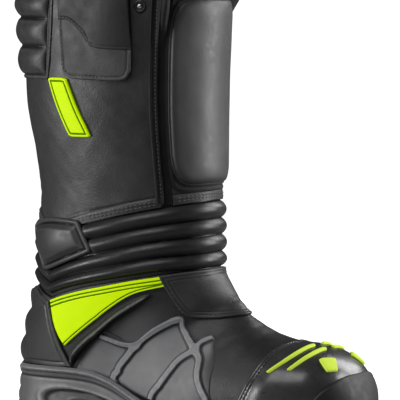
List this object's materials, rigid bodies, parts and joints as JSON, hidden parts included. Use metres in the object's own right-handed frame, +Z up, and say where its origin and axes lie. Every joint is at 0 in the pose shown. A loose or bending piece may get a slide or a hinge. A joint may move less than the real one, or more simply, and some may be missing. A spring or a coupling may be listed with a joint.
{
  "type": "firefighter boot",
  "caption": "Right-foot structural fire boot: lugged sole, bumpered safety toe, ribbed ankle bellows, high padded shaft with shin guard and pull loops.",
  "frame": {"origin": "middle of the heel's flat tread, on the ground", "axes": "+X towards the toe, +Y towards the inner (medial) side, +Z up the shaft"},
  "size_m": [0.305, 0.1362, 0.396],
  "materials": {
    "black_leather": "semi-gloss full-grain, water repellent",
    "black_rubber": "moulded, satin",
    "grey_rubber": "moulded, satin",
    "hi_vis_rubber": "fluorescent yellow, satin",
    "lining_fabric": "knitted membrane laminate",
    "webbing": "smooth strap",
    "steel": "satin",
    "plate_fabric": "woven penetration-resistant laminate",
    "insole_fibre": "fibre board",
    "stiff_foam": "matt"
  },
  "bodies": {
    "foot": {"outsole": "black_rubber", "midsole": "grey_rubber", "puncture_plate": "plate_fabric", "shank": "steel", "insole_board": "insole_fibre", "foot_quarter": "black_leather", "vamp": "black_leather", "foot_lining": "lining_fabric", "toe_cap": "steel", "heel_stiffener": "stiff_foam", "instep_panel": "black_leather", "heel_counter": "black_leather", "toe_cover": "black_rubber", "toe_bumper": "black_rubber", "ankle_bellows": "black_rubber", "ankle_lining": "lining_fabric", "lateral_hi_vis_panel": "hi_vis_rubber", "medial_hi_vis_panel": "hi_vis_rubber", "lateral_fin": "black_rubber", "medial_fin": "black_rubber", "lateral_side_web": "grey_rubber", "medial_side_web": "grey_rubber", "lateral_rear_toe_bar": "hi_vis_rubber", "medial_rear_toe_bar": "hi_vis_rubber", "lateral_front_toe_bar": "hi_vis_rubber", "medial_front_toe_bar": "hi_vis_rubber", "lateral_toe_badge": "hi_vis_rubber", "medial_toe_badge": "hi_vis_rubber", "lateral_ankle_protector": "black_rubber", "medial_ankle_protector": "black_rubber"},
    "shaft": {"shaft_quarter": "black_leather", "front_shin_panel": "black_leather", "shin_pad": "black_rubber", "collar_back_pad": "black_leather", "collar_binding": "black_leather", "shaft_lining": "lining_fabric", "lateral_gusset": "black_leather", "medial_gusset": "black_leather", "lateral_seam_strip": "black_leather", "medial_seam_strip": "black_leather", "lateral_strap_patch": "black_leather", "medial_strap_patch": "black_leather", "lateral_strap_base": "webbing", "medial_strap_base": "webbing", "lateral_stud": "steel", "medial_stud": "steel", "lateral_shaft_badge": "hi_vis_rubber", "medial_shaft_badge": "hi_vis_rubber"},
    "footbed": {"footbed": "stiff_foam"},
    "lateral_loop": {"lateral_pull_loop": "webbing"},
    "medial_loop": {"medial_pull_loop": "webbing"}
  },
  "joints": [
    {"name": "ankle_flex", "type": "hinge", "parent": "foot", "child": "shaft", "pos_m": [0.036, 0, 0.158], "axis": [0, 1, 0], "range_deg": [-8, 15], "deforming": ["ankle_bellows", "ankle_lining", "lateral_ankle_protector", "medial_ankle_protector"]},
    {"name": "lateral_loop_fold", "type": "hinge", "parent": "shaft", "child": "lateral_loop", "pos_m": [0.041, -0.0644, 0.366], "axis": [1, 0, 0], "range_deg": [-45, 150]},
    {"name": "medial_loop_fold", "type": "hinge", "parent": "shaft", "child": "medial_loop", "pos_m": [0.041, 0.0644, 0.366], "axis": [-1, 0, 0], "range_deg": [-45, 150]},
    {"name": "footbed_lift", "type": "slide", "parent": "foot", "child": "footbed", "axis": [0, 0, 1], "range_m": [0, 0.01]}
  ]
}
